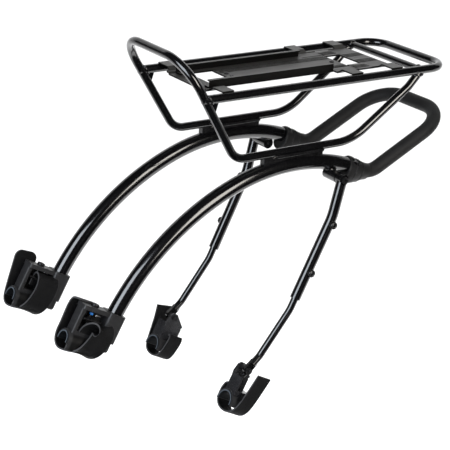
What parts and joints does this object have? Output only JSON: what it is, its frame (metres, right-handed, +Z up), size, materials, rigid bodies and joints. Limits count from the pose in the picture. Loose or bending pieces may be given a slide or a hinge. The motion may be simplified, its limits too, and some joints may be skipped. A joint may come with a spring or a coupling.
{
  "type": "rear rack",
  "caption": "Bicycle rear rack of black tubes with a grey bag track, a rubber-covered rear loop and pivoting telescopic struts, strapped to the seat stays by padded feet.",
  "frame": {"origin": "on the symmetry plane, midway between the axes of the two front cradles, where the seat stays pass", "axes": "+X rearward along the deck, +Y to the rider's right, +Z up"},
  "size_m": [0.5482, 0.2216, 0.4463],
  "materials": {
    "gloss_black_paint": "gloss black",
    "track_grey": "matte grey anodised",
    "loop_rubber": "matte soft",
    "sleeve_plastic": "satin black",
    "foot_plastic": "satin dark",
    "pad_grey": "matte blue-grey",
    "strap_webbing": "matte textured",
    "black_steel": "dark satin"
  },
  "bodies": {
    "rack": {"arc_foot_left": "foot_plastic", "arc_foot_pad_left": "pad_grey", "arc_foot_pad_right": "pad_grey", "arc_foot_right": "foot_plastic", "arc_strap_left": "strap_webbing", "arc_strap_right": "strap_webbing", "arc_tube_left": "gloss_black_paint", "arc_tube_right": "gloss_black_paint", "deck_frame": "gloss_black_paint", "elbow_sleeve_left": "sleeve_plastic", "elbow_sleeve_right": "sleeve_plastic", "front_cross_plate": "track_grey", "front_hoop": "gloss_black_paint", "leg_lug_left": "gloss_black_paint", "leg_lug_right": "gloss_black_paint", "middle_cross_plate": "track_grey", "rear_cross_plate": "track_grey", "rear_cross_tube": "gloss_black_paint", "rear_loop_core": "gloss_black_paint", "rear_loop_cover": "loop_rubber", "rear_strips": "track_grey", "side_bracket_left": "sleeve_plastic", "side_bracket_right": "sleeve_plastic", "side_rail_left": "gloss_black_paint", "side_rail_right": "gloss_black_paint", "strap_anchor_left": "black_steel", "strap_anchor_right": "black_steel", "strut_boss_left": "gloss_black_paint", "strut_boss_right": "gloss_black_paint", "strut_pivot_bolt_left": "black_steel", "strut_pivot_bolt_right": "black_steel", "tab_screws": "black_steel", "track_channel_left": "track_grey", "track_channel_right": "track_grey", "track_plate": "track_grey", "track_plate_screws": "black_steel"},
    "strut_upper_left": {"strut_tube_left": "gloss_black_paint", "strut_clamp_bolts_left": "black_steel"},
    "strut_lower_left": {"strut_rod_left": "gloss_black_paint"},
    "strut_foot_left": {"strut_bracket_left": "foot_plastic", "strut_foot_bolt_left": "black_steel", "strut_cradle_left": "foot_plastic", "strut_cradle_pad_left": "pad_grey", "strut_strap_left": "strap_webbing"},
    "tension_screw_left": {"tension_screw_left": "black_steel"},
    "strut_upper_right": {"strut_tube_right": "gloss_black_paint", "strut_clamp_bolts_right": "black_steel"},
    "strut_lower_right": {"strut_rod_right": "gloss_black_paint"},
    "strut_foot_right": {"strut_bracket_right": "foot_plastic", "strut_foot_bolt_right": "black_steel", "strut_cradle_right": "foot_plastic", "strut_cradle_pad_right": "pad_grey", "strut_strap_right": "strap_webbing"},
    "tension_screw_right": {"tension_screw_right": "black_steel"}
  },
  "joints": [
    {"name": "strut_swing_left", "type": "hinge", "parent": "rack", "child": "strut_upper_left", "pos_m": [0.3355, -0.0915, 0.1488], "axis": [0, 1, 0], "range_deg": [-20, 30]},
    {"name": "strut_extend_left", "type": "slide", "parent": "strut_upper_left", "child": "strut_lower_left", "axis": [-0.445, 0, -0.8955], "range_m": [0, 0.03]},
    {"name": "strut_foot_turn_left", "type": "hinge", "parent": "strut_lower_left", "child": "strut_foot_left", "pos_m": [0.212, -0.0915, -0.073], "axis": [0, 1, 0], "range_deg": [-20, 20]},
    {"name": "tension_screw_turn_left", "type": "hinge", "parent": "rack", "child": "tension_screw_left", "pos_m": [0.01848, -0.0665, 0.04114], "axis": [0.4695, 0, 0.8829], "continuous": true},
    {"name": "strut_swing_right", "type": "hinge", "parent": "rack", "child": "strut_upper_right", "pos_m": [0.3355, 0.0915, 0.1488], "axis": [0, 1, 0], "range_deg": [-20, 30]},
    {"name": "strut_extend_right", "type": "slide", "parent": "strut_upper_right", "child": "strut_lower_right", "axis": [-0.4309, 0, -0.9024], "range_m": [0, 0.03]},
    {"name": "strut_foot_turn_right", "type": "hinge", "parent": "strut_lower_right", "child": "strut_foot_right", "pos_m": [0.2155, 0.0915, -0.07491], "axis": [0, 1, 0], "range_deg": [-20, 20]},
    {"name": "tension_screw_turn_right", "type": "hinge", "parent": "rack", "child": "tension_screw_right", "pos_m": [0.01848, 0.0665, 0.04114], "axis": [0.4695, 0, 0.8829], "continuous": true}
  ]
}
